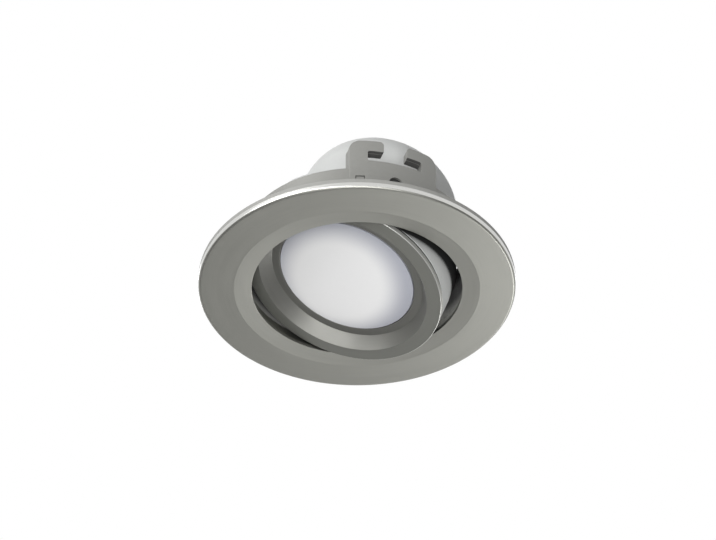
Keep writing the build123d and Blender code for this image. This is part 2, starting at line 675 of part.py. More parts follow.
def cable_grommet():
    """Soft bush in the housing's rear hole, the inlet for the supply cable."""
    lip = INLET_RADIUS + GROMMET_LIP_REACH
    waist = INLET_RADIUS - GROMMET_FIT
    return turned([
        (GROMMET_BORE, HOUSING_WALL_W - GROMMET_LIP),
        (lip, HOUSING_WALL_W - GROMMET_LIP),
        (lip, HOUSING_WALL_W),
        (waist, HOUSING_WALL_W),
        (waist, HOUSING_REACH),
        (lip, HOUSING_REACH),
        (waist, HOUSING_REACH + GROMMET_LIP),
        (GROMMET_BORE, HOUSING_REACH + GROMMET_LIP),
    ])


def housing_screws():
    """Screws that draw the housing's barrel down onto the bezel's bosses."""
    length = BARREL_BACK + SCREW_DEPTH - OVERSIZE / 2
    one = screw(SCREW_RADIUS - THREAD_CLEARANCE, SCREW_HEAD_RADIUS, SCREW_HEAD_HEIGHT, length)
    return Compound([Pos(*place, BARREL_REACH) * one for place in screw_places()])


pivot_block_near, pivot_block_far = pivot_blocks()
fixed_pieces = {
    "trim_ring": trim_ring(),
    "mounting_collar": mounting_collar(),
    "pivot_block_near": pivot_block_near,
    "pivot_block_far": pivot_block_far,
    "pivot_pins": pivot_pins(),
    "friction_washers": friction_washers(),
}
head_pieces = {
    "bezel_ring": bezel_ring(),
    "diffuser": diffuser(),
    "diffuser_gasket": diffuser_gasket(),
    "reflector_cup": reflector_cup(),
    "led_board": led_board(),
    "led_chips": led_chips(),
    "board_screws": board_screws(),
    "heat_spreader": heat_spreader(),
    "led_leads": led_leads(),
    "insulation_tray": insulation_tray(),
    "driver_board": driver_board(),
    "driver_capacitor": driver_capacitor(),
    "driver_transformer": driver_transformer(),
    "driver_choke": driver_choke(),
    "driver_rectifier": flat_package(RECTIFIER_SIZE, board_place(RECTIFIER_ANGLE, RECTIFIER_SETBACK)),
    "driver_controller": flat_package(CONTROLLER_SIZE, board_place(CONTROLLER_ANGLE, CONTROLLER_SETBACK)),
    "driver_fuse": driver_fuse(),
    "terminal_block": terminal_block(),
    "module_housing": module_housing(),
    "cable_grommet": cable_grommet(),
    "housing_screws": housing_screws(),
}

os.makedirs("parts", exist_ok=True)
for name, piece in fixed_pieces.items():
    export_step(piece, f"parts/{name}.step")
for name, piece in head_pieces.items():
    export_step(HEAD_PLACE * piece, f"parts/{name}.step")
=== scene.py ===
"""Recessed spotlight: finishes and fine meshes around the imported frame."""
import json
import math

import bmesh
import bpy
from mathutils import Matrix, Vector


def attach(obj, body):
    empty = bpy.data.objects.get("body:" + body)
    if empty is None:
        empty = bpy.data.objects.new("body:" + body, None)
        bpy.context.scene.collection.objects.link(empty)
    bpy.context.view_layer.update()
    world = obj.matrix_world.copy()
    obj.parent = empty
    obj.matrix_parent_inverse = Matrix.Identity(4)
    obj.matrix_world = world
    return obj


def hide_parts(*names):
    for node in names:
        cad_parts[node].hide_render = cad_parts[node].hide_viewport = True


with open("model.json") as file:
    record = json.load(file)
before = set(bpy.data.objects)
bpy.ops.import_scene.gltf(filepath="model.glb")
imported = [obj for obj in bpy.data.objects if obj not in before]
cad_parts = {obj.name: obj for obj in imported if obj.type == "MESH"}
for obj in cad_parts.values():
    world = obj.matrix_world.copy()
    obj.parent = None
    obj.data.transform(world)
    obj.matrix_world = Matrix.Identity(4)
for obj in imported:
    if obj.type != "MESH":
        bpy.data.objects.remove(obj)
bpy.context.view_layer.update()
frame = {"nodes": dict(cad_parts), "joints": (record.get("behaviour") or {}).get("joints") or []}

MM = 0.001

# Head placement, read from the tilt joint
TILT_JOINT = frame["joints"][0]
PIVOT = Vector(TILT_JOINT["pos_m"])
PIVOT_Z = PIVOT.z / MM
REST_TILT = -math.radians(sum(TILT_JOINT["range_deg"]) / 2)
HEAD_PLACE = Matrix.Translation(PIVOT) @ Matrix.Rotation(REST_TILT, 4, "Y")
LAMP_PLACE = Matrix.Identity(4)

# Camera, from the photograph's frame
PHOTO_WIDTH = 716
PHOTO_HEIGHT = 540
FOCAL_PIXELS = 3528
FACE_CENTRE = Vector((0, 0, -2.55 * MM))
FACE_PIXEL = (357.0, 288.9)
VIEW_AZIMUTH = math.radians(-19.0)
VIEW_ELEVATION = math.radians(-39.2)
VIEW_DISTANCE = 1.0
SENSOR_WIDTH = 36.0
NEAR_CLIP = 0.01

# Opal: its own colour at the middle and a painted shade colour at the edge; an oval blend off centre, its
# distances in millimetres
OPAL_COLOR = (0.80, 0.80, 0.80)
OPAL_PAINTED_SHADE_COLOR = (0.40, 0.41, 0.46)
OPAL_STRETCH = (1.0, 0.86, 1.0)
OPAL_MIDDLE = (-1.1, 2.5, -9.8)
OPAL_SHADE_FADE = (11.8, 20.4)

# Barrel: painted shade, its own light grey where it is open to the room, black where its neighbours shut out
# the light
BARREL_PAINTED_SHADE = (0.02, 0.02, 0.02)
BARREL_SHADE_REACH = 20.0
BARREL_SHADE_FADE = (0.70, 0.44)
BARREL_GLOSS = 0.1

# Collar inside: bare near the ceiling plane, with painted shade, black above it, for the shadow deeper inside
INSIDE_PAINTED_SHADE = (0.04, 0.04, 0.04)
INSIDE_SHADE_HEIGHTS = (3.0, 7.0)

# Ambient light on matt surfaces, from the sides and from above, and the heights between which it changes
AMBIENT_SIDE = 0.22
AMBIENT_TOP = 0.03
AMBIENT_HEIGHTS = (0.1, 0.8)

# Stage, in metres; each lamp has a name, place, aim, size and power
FLOOR_SIZE = 8
FLOOR_LEVEL = -1.5
STAGE_MIDDLE = (0, 0, 0)
LAMPS = [
    ("left_lamp", (-1.3, -0.5, 0.35), STAGE_MIDDLE, 0.9, 14),
    ("right_lamp", (1.06, 1.0, -1.05), STAGE_MIDDLE, 0.6, 10),
    ("front_lamp", (-0.35, -1.1, -1.05), STAGE_MIDDLE, 0.9, 17),
    ("side_lamp", (-1.0, -1.2, -0.38), STAGE_MIDDLE, 0.5, 5.5),
    ("floor_lamp", (0.7, 1.7, -0.5), (0.7, 1.7, -1.5), 0.8, 7.8),
    ("back_lamp", (0.4, 1.3, 1.3), STAGE_MIDDLE, 1.0, 16),
]

# Grain: how far it wanders round the axis, the part of it that drives roughness, and relief depth in metres
GRAIN_WANDER = 1.6
GRAIN_RANGE = (0.3, 0.7)
RELIEF_DEPTH = 0.00005

# Mesh resolution
ROUND_STEPS = 288
ROD_STEPS = 48
CORNER_STEPS = 4
TURNED_STEPS = 6
BRACKET_STEPS = 8
FINE_RADIUS = 0.5
CORNER_LIMIT = 0.95
AXIS_RADIUS = 1e-6
CROWN_STEPS = 40
SMOOTH_ANGLE = math.radians(32)
EASE_WIDTH = 0.1
EASE_STEPS = 2
BEND_CUTS = 21
BEND_STEP = 0.6
WELD_DISTANCE = 0.003

# Outlines: radius, height and corner radius, all in millimetres; height is above the ceiling plane
TRIM_OUTLINE = [
    (45.0, 0.0, 0.15),
    (45.0, -1.35, 0),
    (45.0, -3.0, 0.85),
    (34.845, -3.25, 0.6),
    (29.845, -2.9, 0.12),
    (29.845, -1.8, 0.12),
    (31.4, -1.8, 0.1),
    (31.4, 2.0, 0.15),
    (32.2, 2.0, 0.15),
    (32.2, 0.0, 0.05),
    (34.05, 0.0, 0.05),
    (34.05, -0.4, 0.05),
    (35.05, -0.4, 0.05),
    (35.05, 0.0, 0.05),
]
EDGE_INNER = 44.0
EDGE_TOP = -1.35
EDGE_BOTTOM = -2.5
COLLAR_OUTLINE = [
    (32.3, 0.0, 0.1),
    (33.9, 0.0, 0.2),
    (33.9, 2.9, 0.2),
    (33.1, 3.7, 0.2),
    (33.1, 14.25, 0.25),
    (31.0, 14.25, 0.2),
    (31.0, 13.4, 0.2),
    (32.3, 13.4, 0.1),
]

# Brackets with their T-shaped spring seats, and the blocks behind them
COLLAR_INNER = 32.3
INSIDE_MARGIN = 0.3
INSIDE_DOWN = -0.5
BRACKET_FOOT = 2.0
BRACKET_INNER = 32.35
BRACKET_RADIUS = 33.5
BRACKET_TOP = 24.05
BRACKET_WIDTH = 25.8
BRACKET_CORNER = 3.0
SLOT_FLOOR = 16.8
SLOT_TOP = 20.3
SLOT_WIDTH = 15.9
SLOT_CORNER = 0.6
NECK_WIDTH = 6.9
LUG_CORNER = 1.2
LUG_TIP = 0.2
LUG_MARGIN = 0.3
LUG_DOWN = -0.6
BLOCK_RADIUS = 32.25
BLOCK_INNER = 30.45
BLOCK_BOTTOM = 9.05
BOSS_RADIUS = 4.4
BOSS_FACE = 29.85
PIN_SEAT_RADIUS = 1.95
PIN_HOLE_RADIUS = 1.56
BARB_ANGLE = 17.5
BARB_SIZE = (2.2, 1.6)
BARB_REACH = 33.25
WINDOW_SIZE = (2.6, 2.0)
WINDOW_MIDDLE = 10.05
PANEL_REACH = 40.0

# Head outlines: radius and level along the head's axis from the pivot, front negative
BEZEL_OUTLINE = [
    (20.195, -9.05, 0.15),
    (22.595, -9.05, 0.15),
    (25.195, -12.7, 0.12),
    (29.345, -12.2, 0.3),
    (29.345, -10.8, 0.15),
    (26.695, -10.8, 0.2),
    (23.995, -8.3, 0.2),
    (23.995, 1.1, 0.15),
    (22.495, 1.1, 0.15),
    (22.495, -8.05, 0.1),
    (20.195, -8.05, 0.1),
]
RIM_SIDE = 29.1
RIM_INNER = 25.3
RIM_FRONT = -0.8
BOSS_COUNT = 3
BOSS_CIRCLE = 25.595
SCREW_BOSS_RADIUS = 2.2
SCREW_BOSS_LEVELS = (-9.05, 1.1)
DIFFUSER_EDGE = 19.945
DIFFUSER_FRONT = -9.15
DIFFUSER_CROWN = 1.0
DIFFUSER_WALL = 1.2
DIFFUSER_BACK = [
    (19.945, -8.05),
    (22.195, -8.05),
    (22.195, -7.05),
    (18.745, -7.05),
]
HOUSING_OUTLINE = [
    (22.195, -5.45, 0.2),
    (22.195, 1.1, 0.1),
    (27.995, 1.1, 0.1),
    (27.995, -10.3, 0.2),
    (29.195, -10.3, 0.2),
    (29.195, 2.7, 0.6),
    (23.395, 2.7, 0.5),
    (23.395, 35.8, 17.5),
    (4.0, 35.8, 0.2),
    (4.0, 34.2, 0.2),
    (21.795, 34.2, 15.9),
    (21.795, 9.95, 0.5),
    (19.395, 7.55, 0.2),
    (19.395, 6.35, 0.1),
    (20.595, 6.35, 0.1),
    (20.595, -5.45, 0.2),
]
HOUSING_ROUND_STEPS = 28
BARREL_OUTSIDE = 28.2
BARREL_REACH = 2.8
EAR_RADIUS = 3.6
EAR_INNER = 26.85
EAR_OUTER = 28.65
GROMMET_OUTLINE = [
    (2.6, 33.0, 0.3),
    (5.1, 33.0, 0.3),
    (5.1, 34.2, 0.2),
    (3.95, 34.2, 0.1),
    (3.95, 35.8, 0.1),
    (5.1, 35.8, 0.2),
    (3.95, 37.0, 0.4),
    (2.6, 37.0, 0.4),
]


def soften(outline, steps=CORNER_STEPS):
    """Closed outline of (x, y, radius) corners, each rounded by its radius; zero leaves a plain point."""
    points = []
    count = len(outline)
    for i, (x, y, radius) in enumerate(outline):
        if not radius:
            points.append((x, y))
            continue
        here = Vector((x, y))
        before = Vector(outline[i - 1][:2]) - here
        after = Vector(outline[(i + 1) % count][:2]) - here
        half = before.angle(after) / 2
        reach = min(radius / math.tan(half), before.length * CORNER_LIMIT, after.length * CORNER_LIMIT)
        fitted = reach * math.tan(half)
        centre = here + (before.normalized() + after.normalized()).normalized() * (fitted / math.sin(half))
        start = here + before.normalized() * reach - centre
        sweep = start.angle_signed(here + after.normalized() * reach - centre)
        parts = steps if radius >= FINE_RADIUS else CORNER_STEPS
        for k in range(parts + 1):
            turn = Matrix.Rotation(-sweep * k / parts, 2)
            points.append(tuple(centre + turn @ start))
    return points


def finish_mesh(bm, name):
    """Turns a bmesh into a mesh with its faces looking outward."""
    bmesh.ops.recalc_face_normals(bm, faces=bm.faces)
    mesh = bpy.data.meshes.new(name)
    bm.to_mesh(mesh)
    bm.free()
    return mesh


def lathe(name, points, closed=True):
    """Mesh turned about Z from (radius, height) points; an open outline starts and ends on the axis."""
    bm = bmesh.new()
    rings = []
    for radius, height in points:
        if radius < AXIS_RADIUS:
            rings.append([bm.verts.new((0, 0, height * MM))])
            continue
        ring = []
        for k in range(ROUND_STEPS):
            angle = 2 * math.pi * k / ROUND_STEPS
            x, y = radius * MM * math.cos(angle), radius * MM * math.sin(angle)
            ring.append(bm.verts.new((x, y, height * MM)))
        rings.append(ring)
    pairs = list(zip(rings, rings[1:]))
    if closed:
        pairs.append((rings[-1], rings[0]))
    for low, high in pairs:
        for k in range(ROUND_STEPS):
            nxt = (k + 1) % ROUND_STEPS
            corners = [low[k % len(low)], low[nxt % len(low)], high[nxt % len(high)], high[k % len(high)]]
            bm.faces.new(list(dict.fromkeys(corners)))
    return finish_mesh(bm, name)


def prism(name, points, start, end, place=LAMP_PLACE):
    """Mesh of a closed (x, z) outline drawn out along Y from start to end."""
    bm = bmesh.new()
    near = [bm.verts.new(place @ Vector((x * MM, start * MM, z * MM))) for x, z in points]
    far = [bm.verts.new(place @ Vector((x * MM, end * MM, z * MM))) for x, z in points]
    bm.faces.new(near)
    bm.faces.new(far)
    for k in range(len(points)):
        nxt = (k + 1) % len(points)
        bm.faces.new((near[k], near[nxt], far[nxt], far[k]))
    return finish_mesh(bm, name)


def disc(radius, x, z):
    """Round outline for a prism."""
    angles = [2 * math.pi * k / ROD_STEPS for k in range(ROD_STEPS)]
    return [(x + radius * math.cos(a), z + radius * math.sin(a)) for a in angles]


def oblong(width, height, middle):
    """Rectangular outline for a prism, centred over the axis."""
    half = width / 2
    low, high = middle - height / 2, middle + height / 2
    return [(-half, low), (half, low), (half, high), (-half, high)]


def applied(mesh, kind, **settings):
    """Result of one mesh modifier on a mesh."""
    work = bpy.data.objects.new("work", mesh)
    bpy.context.scene.collection.objects.link(work)
    step = work.modifiers.new("step", kind)
    for key, value in settings.items():
        setattr(step, key, value)
    graph = bpy.context.evaluated_depsgraph_get()
    result = bpy.data.meshes.new_from_object(work.evaluated_get(graph))
    bpy.data.objects.remove(work)
    return result


def combined(mesh, other, operation):
    """One mesh joined with or cut by another, its stray points welded."""
    tool = bpy.data.objects.new("tool", other)
    bpy.context.scene.collection.objects.link(tool)
    result = applied(mesh, "BOOLEAN", operation=operation, solver="EXACT", object=tool)
    bpy.data.objects.remove(tool)
    bm = bmesh.new()
    bm.from_mesh(result)
    bmesh.ops.remove_doubles(bm, verts=bm.verts, dist=WELD_DISTANCE * MM)
    bmesh.ops.dissolve_degenerate(bm, edges=bm.edges, dist=WELD_DISTANCE * MM)
    return finish_mesh(bm, mesh.name)


def eased(mesh):
    """Mesh with its sharp edges broken."""
    return applied(mesh, "BEVEL", width=EASE_WIDTH * MM, segments=EASE_STEPS,
                   limit_method="ANGLE", angle_limit=SMOOTH_ANGLE)


def new_piece(name, mesh, place, body, nodes):
    """Links a mesh as a piece that stands for CAD nodes and rides on a body."""
    mesh.polygons.foreach_set("use_smooth", [True] * len(mesh.polygons))
    mesh.set_sharp_from_angle(angle=SMOOTH_ANGLE)
    mesh = applied(mesh, "WEIGHTED_NORMAL", keep_sharp=True)
    mesh.name = name
    piece = bpy.data.objects.new(name, mesh)
    bpy.context.scene.collection.objects.link(piece)
    piece.matrix_world = place
    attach(piece, body)
    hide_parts(*nodes)
    return piece


def paint(piece, *materials):
    """Gives a piece its materials in order."""
    piece.data.materials.clear()
    for material in materials:
        piece.data.materials.append(material)


def joined(name, meshes):
    """Several meshes as one."""
    bm = bmesh.new()
    for mesh in meshes:
        bm.from_mesh(mesh)
    return finish_mesh(bm, name)


def bracket_outline(low):
    """Bracket seen along Y: rounded upper corners and the T-shaped spring seat."""
    half, slot, neck = BRACKET_WIDTH / 2, SLOT_WIDTH / 2, NECK_WIDTH / 2
    return soften([
        (-half, low, 0),
        (half, low, 0),
        (half, BRACKET_TOP, BRACKET_CORNER),
        (neck, BRACKET_TOP, LUG_CORNER),
        (neck, SLOT_TOP, LUG_TIP),
        (slot, SLOT_TOP, SLOT_CORNER),
        (slot, SLOT_FLOOR, SLOT_CORNER),
        (-slot, SLOT_FLOOR, SLOT_CORNER),
        (-slot, SLOT_TOP, SLOT_CORNER),
        (-neck, SLOT_TOP, LUG_TIP),
        (-neck, BRACKET_TOP, LUG_CORNER),
        (-half, BRACKET_TOP, BRACKET_CORNER),
    ], BRACKET_STEPS)


def bent_plate(name, points, inner, outer, side):
    """Plate of an (x, z) outline with broken edges, bent to follow a round wall between two radii."""
    bm = bmesh.new()
    bm.from_mesh(eased(prism(name, points, inner, outer)))
    for k in range(-BEND_CUTS, BEND_CUTS):
        everything = bm.verts[:] + bm.edges[:] + bm.faces[:]
        cut = (k + 1 / 2) * BEND_STEP * MM  # clear of the middle, where other edges lie
        bmesh.ops.bisect_plane(bm, geom=everything, plane_co=(cut, 0, 0), plane_no=(1, 0, 0))
    for vertex in bm.verts:
        vertex.co.y = side * math.sqrt(vertex.co.y**2 - vertex.co.x**2)
    return finish_mesh(bm, name)


def make_trim(face, edge, rear):
    """Visible flange with its bright turned edge, partly a painted highlight, and a painted dark reflection
    on the band behind it.
    """
    piece = new_piece("trim_flange", lathe("trim", soften(TRIM_OUTLINE, TURNED_STEPS)), LAMP_PLACE, "frame",
                      ["trim_ring"])
    paint(piece, face, edge, rear)
    # Outer band: lighter, partly a painted highlight; band above it: painted dark reflection
    for polygon in piece.data.polygons:
        outward = polygon.center.xy.length > EDGE_INNER * MM
        if outward and polygon.center.z > EDGE_TOP * MM:
            polygon.material_index = 2
        elif outward and polygon.center.z > EDGE_BOTTOM * MM:
            polygon.material_index = 1


def make_collar(outside, inside, shade):
    """Collar ring, turned inward at its top, with both brackets, pin seats and barb windows."""
    collar = lathe("collar", soften(COLLAR_OUTLINE))
    for side in (-1, 1):
        bracket = bent_plate("bracket", bracket_outline(BRACKET_FOOT), BRACKET_INNER, BRACKET_RADIUS, side)
        collar = combined(collar, bracket, "UNION")
    pin_seats = prism("pin_seats", disc(PIN_SEAT_RADIUS, 0, PIVOT_Z), -PANEL_REACH, PANEL_REACH)
    collar = combined(collar, pin_seats, "DIFFERENCE")
    for angle in (-BARB_ANGLE, BARB_ANGLE):
        turn = Matrix.Rotation(math.radians(angle), 4, "Z")
        outline = oblong(*WINDOW_SIZE, WINDOW_MIDDLE)
        collar = combined(collar, prism("windows", outline, -PANEL_REACH, PANEL_REACH, turn), "DIFFERENCE")
    piece = new_piece("ceiling_collar", collar, LAMP_PLACE, "frame", ["mounting_collar"])
    paint(piece, outside, shade, inside)
    # Inside faces take the finish with painted shade
    for polygon in piece.data.polygons:
        radius = polygon.center.xy.length
        inward = polygon.normal.xy.dot(polygon.center.xy) < 0 or polygon.normal.z < INSIDE_DOWN
        if radius < (COLLAR_INNER + INSIDE_MARGIN) * MM and inward:
            polygon.material_index = 2
    shade_seat(piece)


def shade_seat(piece):
    """Painted shade on the underside of the spring seat's lugs."""
    for polygon in piece.data.polygons:
        at_lug = abs(polygon.center.z - SLOT_TOP * MM) < LUG_MARGIN * MM
        if at_lug and polygon.normal.z < LUG_DOWN:
            polygon.material_index = 1


def make_block(name, node, side, finish, shade):
    """Bearing block behind one bracket, with its boss and barbs."""
    block = bent_plate("block", bracket_outline(BLOCK_BOTTOM), BLOCK_INNER, BLOCK_RADIUS, side)
    middle = (BLOCK_INNER + BLOCK_RADIUS) / 2
    boss = prism("boss", disc(BOSS_RADIUS, 0, PIVOT_Z), side * BOSS_FACE, side * middle)
    block = combined(block, boss, "UNION")
    for angle in (-BARB_ANGLE, BARB_ANGLE):
        turn = Matrix.Rotation(math.radians(angle), 4, "Z")
        outline = oblong(*BARB_SIZE, WINDOW_MIDDLE)
        block = combined(block, prism("barb", outline, side * middle, side * BARB_REACH, turn), "UNION")
    pin = prism("pin_hole", disc(PIN_HOLE_RADIUS, 0, PIVOT_Z), 0, side * PANEL_REACH)
    block = combined(block, pin, "DIFFERENCE")
    piece = new_piece(name, block, LAMP_PLACE, "frame", [node])
    paint(piece, finish, shade)
    shade_seat(piece)


def make_bezel(finish, edge, flat):
    """Tilting ring with its screw bosses; the side of its rim is lighter, partly a painted highlight, and the
    face of its rim has its own finish.
    """
    meshes = [lathe("bezel", soften(BEZEL_OUTLINE))]
    low, high = SCREW_BOSS_LEVELS
    for k in range(BOSS_COUNT):
        turn = Matrix.Rotation(2 * math.pi * k / BOSS_COUNT, 4, "Z") @ Matrix.Rotation(math.pi / 2, 4, "X")
        meshes.append(prism("boss", disc(SCREW_BOSS_RADIUS, BOSS_CIRCLE, 0), low, high, turn))
    mesh = joined("bezel", meshes)
    piece = new_piece("tilting_bezel", mesh, HEAD_PLACE, "head", ["bezel_ring"])
    paint(piece, finish, edge, flat)
    for polygon in piece.data.polygons:
        radius = polygon.center.xy.length
        if radius > RIM_SIDE * MM and polygon.normal.z > RIM_FRONT:
            polygon.material_index = 1
        elif radius > RIM_INNER * MM and polygon.normal.z < RIM_FRONT:
            polygon.material_index = 2


def make_diffuser(finish):
    """Crowned opal disc."""
    sphere = (DIFFUSER_EDGE**2 + DIFFUSER_CROWN**2) / (2 * DIFFUSER_CROWN)
    middle = DIFFUSER_FRONT - DIFFUSER_CROWN + sphere
    front = []
    for k in range(CROWN_STEPS + 1):
        radius = DIFFUSER_EDGE * k / CROWN_STEPS
        front.append((radius, middle - math.sqrt(sphere**2 - radius**2)))
    inner = sphere - DIFFUSER_WALL
    back = []
    for k in range(CROWN_STEPS, -1, -1):
        radius = DIFFUSER_BACK[-1][0] * k / CROWN_STEPS
        back.append((radius, middle - math.sqrt(inner**2 - radius**2)))
    mesh = lathe("diffuser", front + DIFFUSER_BACK + back, closed=False)
    piece = new_piece("opal_disc", mesh, HEAD_PLACE, "head", ["diffuser"])
    paint(piece, finish)


def make_housing(finish, barrel):
    """Rear cup and barrel, flattened where the pivot ears are."""
    mesh = lathe("housing", soften(HOUSING_OUTLINE, HOUSING_ROUND_STEPS))
    for vertex in mesh.vertices:
        vertex.co.y = max(-EAR_OUTER * MM, min(EAR_OUTER * MM, vertex.co.y))
    ears = [prism("ear", disc(EAR_RADIUS, 0, 0), side * EAR_INNER, side * EAR_OUTER) for side in (-1, 1)]
    mesh = joined("housing", [mesh] + [eased(ear) for ear in ears])
    piece = new_piece("driver_cup", mesh, HEAD_PLACE, "head", ["module_housing"])
    paint(piece, finish, barrel)
    # Barrel faces take the finish with painted shade
    for polygon in piece.data.polygons:
        outer = polygon.center.xy.length > BARREL_OUTSIDE * MM or abs(polygon.center.y) > EAR_INNER * MM
        if outer and polygon.center.z < BARREL_REACH * MM:
            polygon.material_index = 1


def make_grommet(finish):
    """Cable bush at the back of the cup."""
    mesh = lathe("grommet", soften(GROMMET_OUTLINE, TURNED_STEPS))
    piece = new_piece("inlet_bush", mesh, HEAD_PLACE, "head", ["cable_grommet"])
    paint(piece, finish)


def node_group(name, inputs, outputs):
    """New shader group with number inputs and outputs; returns the group and its two end nodes."""
    group = bpy.data.node_groups.new(name, "ShaderNodeTree")
    for label, value in inputs.items():
        socket = group.interface.new_socket(label, in_out="INPUT", socket_type="NodeSocketFloat")
        socket.default_value = value
    for label in outputs:
        group.interface.new_socket(label, in_out="OUTPUT", socket_type="NodeSocketFloat")
    start = group.nodes.new("NodeGroupInput")
    end = group.nodes.new("NodeGroupOutput")
    return group, start, end


def math_node(tree, operation, first, second):
    """Math node fed by sockets or numbers; returns its output."""
    node = tree.nodes.new("ShaderNodeMath")
    node.operation = operation
    for socket, source in zip(node.inputs, (first, second)):
        if isinstance(source, (int, float)):
            socket.default_value = source
        else:
            tree.links.new(source, socket)
    return node.outputs[0]


def turned_grain_group():
    """Fine rings left by turning, running round the piece's own axis."""
    group, start, end = node_group("turned_grain", {"Fine": 5200.0, "Broad": 1300.0}, ["Grain"])
    coords = group.nodes.new("ShaderNodeTexCoord")
    split = group.nodes.new("ShaderNodeSeparateXYZ")
    group.links.new(coords.outputs["Object"], split.inputs[0])
    flat = group.nodes.new("ShaderNodeCombineXYZ")
    group.links.new(split.outputs["X"], flat.inputs["X"])
    group.links.new(split.outputs["Y"], flat.inputs["Y"])
    length = group.nodes.new("ShaderNodeVectorMath")
    length.operation = "LENGTH"
    group.links.new(flat.outputs[0], length.inputs[0])
    unit = group.nodes.new("ShaderNodeVectorMath")
    unit.operation = "NORMALIZE"
    group.links.new(flat.outputs[0], unit.inputs[0])
    around = group.nodes.new("ShaderNodeSeparateXYZ")
    group.links.new(unit.outputs[0], around.inputs[0])
    run = math_node(group, "ADD", length.outputs["Value"], split.outputs["Z"])
    grains = []
    for label in ("Fine", "Broad"):
        place = group.nodes.new("ShaderNodeCombineXYZ")
        group.links.new(math_node(group, "MULTIPLY", run, start.outputs[label]), place.inputs["X"])
        group.links.new(math_node(group, "MULTIPLY", around.outputs["X"], GRAIN_WANDER), place.inputs["Y"])
        group.links.new(math_node(group, "MULTIPLY", around.outputs["Y"], GRAIN_WANDER), place.inputs["Z"])
        noise = group.nodes.new("ShaderNodeTexNoise")
        noise.inputs["Scale"].default_value = 1.0
        noise.inputs["Detail"].default_value = 2.0
        group.links.new(place.outputs[0], noise.inputs["Vector"])
        grains.append(noise.outputs[0])
    total = math_node(group, "ADD", grains[0], grains[1])
    group.links.new(math_node(group, "MULTIPLY", total, 0.5), end.inputs["Grain"])
    return group


def speckle_group():
    """Irregular grain of moulded, cast or plated surfaces."""
    group, start, end = node_group("speckle", {"Scale": 900.0}, ["Grain"])
    coords = group.nodes.new("ShaderNodeTexCoord")
    noise = group.nodes.new("ShaderNodeTexNoise")
    noise.inputs["Detail"].default_value = 4.0
    group.links.new(coords.outputs["Object"], noise.inputs["Vector"])
    group.links.new(start.outputs["Scale"], noise.inputs["Scale"])
    group.links.new(noise.outputs[0], end.inputs["Grain"])
    return group


def surface(name, group, color, spread, roughness, metallic=0.0, bump=0.0, settings=None):
    """Material whose colour, roughness and relief follow a grain group."""
    material = bpy.data.materials.new(name)
    material.use_nodes = True
    tree = material.node_tree
    shader = tree.nodes["Principled BSDF"]
    grain = tree.nodes.new("ShaderNodeGroup")
    grain.node_tree = group
    for key, value in (settings or {}).items():
        grain.inputs[key].default_value = value
    output = grain.outputs["Grain"]
    low = tuple(c * (1 - spread) for c in color)
    high = tuple(min(1.0, c * (1 + spread)) for c in color)
    links = tree.links
    mix = tree.nodes.new("ShaderNodeMix")
    mix.data_type = "RGBA"
    links.new(output, mix.inputs["Factor"])
    mix.inputs["A"].default_value = (*low, 1)
    mix.inputs["B"].default_value = (*high, 1)
    links.new(mix.outputs["Result"], shader.inputs["Base Color"])
    gloss = tree.nodes.new("ShaderNodeMapRange")
    gloss.inputs["From Min"].default_value = GRAIN_RANGE[0]
    gloss.inputs["From Max"].default_value = GRAIN_RANGE[1]
    gloss.inputs["To Min"].default_value = roughness[0]
    gloss.inputs["To Max"].default_value = roughness[1]
    links.new(output, gloss.inputs["Value"])
    links.new(gloss.outputs["Result"], shader.inputs["Roughness"])
    shader.inputs["Metallic"].default_value = metallic
    if bump:
        relief = tree.nodes.new("ShaderNodeBump")
        relief.inputs["Strength"].default_value = bump
        relief.inputs["Distance"].default_value = RELIEF_DEPTH
        links.new(output, relief.inputs["Height"])
        links.new(relief.outputs["Normal"], shader.inputs["Normal"])
    return material


def painted_shade_blend(material, color, source, start, end):
    """Blends a material's colour softly into a painted shade colour, as a value runs from start to end."""
    tree = material.node_tree
    base = tree.nodes["Principled BSDF"].inputs["Base Color"]
    own = base.links[0].from_socket
    amount = tree.nodes.new("ShaderNodeMapRange")
    amount.interpolation_type = "SMOOTHSTEP"
    amount.inputs["From Min"].default_value = start
    amount.inputs["From Max"].default_value = end
    tree.links.new(source, amount.inputs["Value"])
    shade_mix = tree.nodes.new("ShaderNodeMix")
    shade_mix.data_type = "RGBA"
    shade_mix.inputs["B"].default_value = (*color, 1)
    tree.links.new(amount.outputs["Result"], shade_mix.inputs["Factor"])
    tree.links.new(own, shade_mix.inputs["A"])
    tree.links.new(shade_mix.outputs["Result"], base)


def opal_painted_shade_surface():
    """Milky diffuser with painted shade: greyer and bluer towards its edge, in an off-centre oval."""
    material = surface("opal", speckle, OPAL_COLOR, 0.01, (0.42, 0.48))
    tree = material.node_tree
    coords = tree.nodes.new("ShaderNodeTexCoord")
    drawn = tree.nodes.new("ShaderNodeVectorMath")
    drawn.operation = "MULTIPLY"
    drawn.inputs[1].default_value = OPAL_STRETCH
    tree.links.new(coords.outputs["Object"], drawn.inputs[0])
    away = tree.nodes.new("ShaderNodeVectorMath")
    away.operation = "DISTANCE"
    away.inputs[1].default_value = [c * MM for c in OPAL_MIDDLE]
    tree.links.new(drawn.outputs[0], away.inputs[0])
    painted_shade_blend(material, OPAL_PAINTED_SHADE_COLOR, away.outputs["Value"], OPAL_SHADE_FADE[0] * MM, OPAL_SHADE_FADE[1] * MM)
    return material


